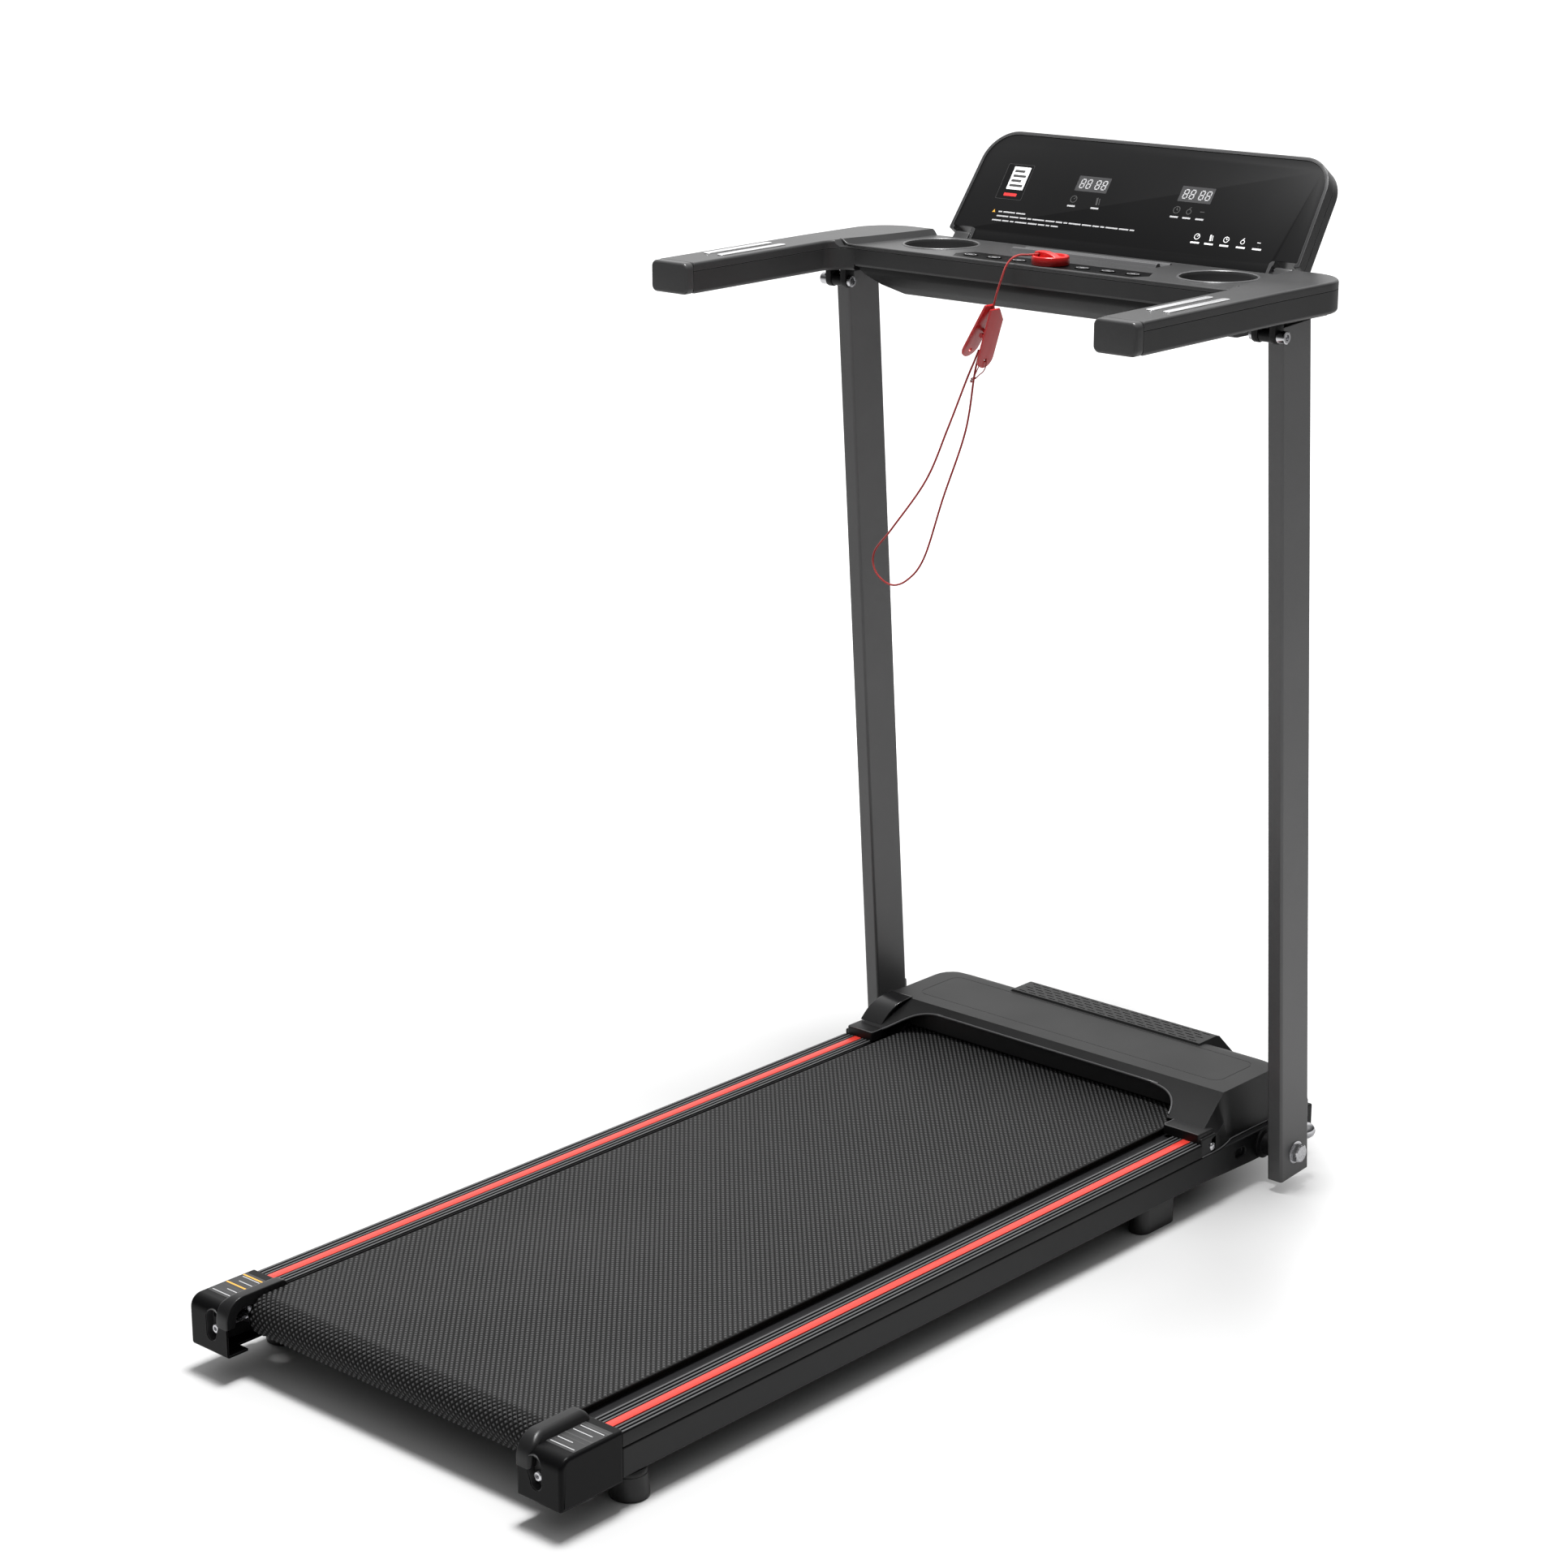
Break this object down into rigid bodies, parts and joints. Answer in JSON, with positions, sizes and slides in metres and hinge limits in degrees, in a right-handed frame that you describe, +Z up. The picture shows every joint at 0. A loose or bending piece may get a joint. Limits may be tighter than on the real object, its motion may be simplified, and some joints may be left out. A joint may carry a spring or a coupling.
{
  "type": "treadmill",
  "caption": "Folding motorised treadmill: low running deck with belt, motor hood, two flat uprights, U-shaped console with hand rails, tilting display board and tethered safety key.",
  "frame": {"origin": "floor level under the middle of the machine's overall length and width", "axes": "+X to the right of a runner on the belt, +Y forward towards the motor hood and display, +Z up"},
  "size_m": [0.6348, 1.2112, 1.1084],
  "materials": {
    "powder_coat": "satin black powder coat",
    "hood_plastic": "fine-grained matt dark grey plastic",
    "black_plastic": "fine-grained matt black plastic",
    "belt_pvc": "fine diamond-textured black belt",
    "foot_rubber": "matt black rubber",
    "wheel_rubber": "matt black",
    "red_plastic": "semi-gloss red plastic",
    "red_strip": "satin red strip",
    "red_cord": "braided red cord",
    "zinc_steel": "zinc-plated steel",
    "chrome": "bright plated",
    "ribbed_rail": "black anodised ribbed extrusion",
    "deck_wood": "black phenolic-faced fibreboard",
    "panel_film": "satin black printed film",
    "controller": "cast aluminium heat sink",
    "motor": "black painted motor can"
  },
  "bodies": {
    "base": {"deck_frame": "powder_coat", "deck_board": "deck_wood", "deck_cushion_l": "foot_rubber", "deck_cushion_r": "foot_rubber", "running_belt": "belt_pvc", "rear_axle": "zinc_steel", "front_axle": "zinc_steel", "side_rail_l": "ribbed_rail", "side_rail_r": "ribbed_rail", "rail_strip_l": "red_strip", "rail_strip_r": "red_strip", "end_cap_l": "black_plastic", "end_cap_r": "black_plastic", "tension_bolt_l": "zinc_steel", "tension_bolt_r": "zinc_steel", "rear_foot_l": "foot_rubber", "rear_foot_r": "foot_rubber", "front_foot_l": "foot_rubber", "front_foot_r": "foot_rubber", "motor_body": "motor", "drive_belt": "foot_rubber", "motor_controller": "controller", "belly_pan": "black_plastic", "motor_hood": "hood_plastic", "hood_trim": "hood_plastic", "power_socket": "black_plastic", "pivot_bolt_l": "zinc_steel", "pivot_bolt_r": "zinc_steel"},
    "front_roller": {"front_roller": "zinc_steel"},
    "rear_roller": {"rear_roller": "zinc_steel"},
    "motor_rotor": {"motor_shaft": "zinc_steel"},
    "wheel_l": {"transport_wheel_l": "wheel_rubber"},
    "wheel_r": {"transport_wheel_r": "wheel_rubber"},
    "mains_switch": {"power_switch": "red_plastic"},
    "uprights": {"upright_l": "powder_coat", "upright_r": "powder_coat"},
    "knob_l": {"lock_knob_l": "chrome"},
    "knob_r": {"lock_knob_r": "chrome"},
    "console": {"console_upper_shell": "black_plastic", "console_lower_shell": "black_plastic", "hinge_bolt_l": "chrome", "hinge_bolt_r": "chrome", "arm_cap_l": "black_plastic", "arm_cap_r": "black_plastic", "pulse_plate_1_l": "chrome", "pulse_plate_1_r": "chrome", "pulse_plate_2_l": "chrome", "pulse_plate_2_r": "chrome"},
    "display": {"display_rear_shell": "black_plastic", "display_panel": "panel_film"},
    "safety_key": {"safety_key": "red_plastic"},
    "tether": {"safety_cord": "red_cord", "clip_body": "red_plastic"},
    "clip_jaw": {"clip_jaw": "red_plastic"},
    "key_1": {"key_1": "red_plastic"},
    "key_2": {"key_2": "red_plastic"},
    "key_3": {"key_3": "red_plastic"},
    "key_4": {"key_4": "red_plastic"},
    "key_5": {"key_5": "red_plastic"},
    "key_6": {"key_6": "red_plastic"}
  },
  "joints": [
    {"name": "front_roller_spin", "type": "hinge", "parent": "base", "child": "front_roller", "pos_m": [0, 0.4294, 0.0596], "axis": [1, 0, 0], "continuous": true},
    {"name": "rear_roller_spin", "type": "hinge", "parent": "base", "child": "rear_roller", "pos_m": [0, -0.5566, 0.0596], "axis": [1, 0, 0], "continuous": true},
    {"name": "motor_spin", "type": "hinge", "parent": "base", "child": "motor_rotor", "pos_m": [0, 0.4994, 0.0702], "axis": [1, 0, 0], "continuous": true},
    {"name": "transport_wheel_l_spin", "type": "hinge", "parent": "base", "child": "wheel_l", "pos_m": [-0.225, 0.5444, 0.034], "axis": [1, 0, 0], "continuous": true},
    {"name": "transport_wheel_r_spin", "type": "hinge", "parent": "base", "child": "wheel_r", "pos_m": [0.225, 0.5444, 0.034], "axis": [1, 0, 0], "continuous": true},
    {"name": "mains_switch_rock", "type": "hinge", "parent": "base", "child": "mains_switch", "pos_m": [0.201, 0.5734, 0.072], "axis": [1, 0, 0], "range_deg": [-6, 6]},
    {"name": "upright_fold", "type": "hinge", "parent": "base", "child": "uprights", "pos_m": [0, 0.4849, 0.0427], "axis": [1, 0, 0], "range_deg": [0, 64]},
    {"name": "lock_knob_l_turn", "type": "hinge", "parent": "uprights", "child": "knob_l", "pos_m": [-0.288, 0.50887, 0.05396], "axis": [0, 0.9975, 0.0704], "continuous": true},
    {"name": "lock_knob_r_turn", "type": "hinge", "parent": "uprights", "child": "knob_r", "pos_m": [0.288, 0.50887, 0.05396], "axis": [0, 0.9975, 0.0704], "continuous": true},
    {"name": "console_fold", "type": "hinge", "parent": "uprights", "child": "console", "pos_m": [0, 0.3844, 0.955], "axis": [1, 0, 0], "range_deg": [0, 86]},
    {"name": "display_fold", "type": "hinge", "parent": "console", "child": "display", "pos_m": [0, 0.51506, 0.99807], "axis": [1, 0, 0], "range_deg": [0, 92]},
    {"name": "key_1_press", "type": "slide", "parent": "console", "child": "key_1", "axis": [0, 0, -1], "range_m": [0, 0.0008], "stiffness_N_per_m": 400},
    {"name": "key_2_press", "type": "slide", "parent": "console", "child": "key_2", "axis": [0, 0, -1], "range_m": [0, 0.0008], "stiffness_N_per_m": 400},
    {"name": "key_3_press", "type": "slide", "parent": "console", "child": "key_3", "axis": [0, 0, -1], "range_m": [0, 0.0008], "stiffness_N_per_m": 400},
    {"name": "key_4_press", "type": "slide", "parent": "console", "child": "key_4", "axis": [0, 0, -1], "range_m": [0, 0.0008], "stiffness_N_per_m": 400},
    {"name": "key_5_press", "type": "slide", "parent": "console", "child": "key_5", "axis": [0, 0, -1], "range_m": [0, 0.0008], "stiffness_N_per_m": 400},
    {"name": "key_6_press", "type": "slide", "parent": "console", "child": "key_6", "axis": [0, 0, -1], "range_m": [0, 0.0008], "stiffness_N_per_m": 400},
    {"name": "safety_key_lift", "type": "slide", "parent": "console", "child": "safety_key", "axis": [0, 0, 1], "range_m": [0, 0.014]},
    {"name": "tether_swing", "type": "hinge", "parent": "safety_key", "child": "tether", "pos_m": [0, 0.3958, 1.0088], "axis": [1, 0, 0], "range_deg": [-86, 0]},
    {"name": "clip_jaw_open", "type": "hinge", "parent": "tether", "child": "clip_jaw", "pos_m": [-0.04541, 0.3444, 0.92451], "axis": [0, 1, 0], "range_deg": [0, 10], "stiffness_Nm_per_rad": 0.05}
  ],
  "couplings": [
    {"joint": "rear_roller_spin", "follows": "front_roller_spin", "ratio": 1},
    {"joint": "motor_spin", "follows": "front_roller_spin", "ratio": 2.3158},
    {"joint": "tether_swing", "follows": "console_fold", "ratio": -1}
  ]
}
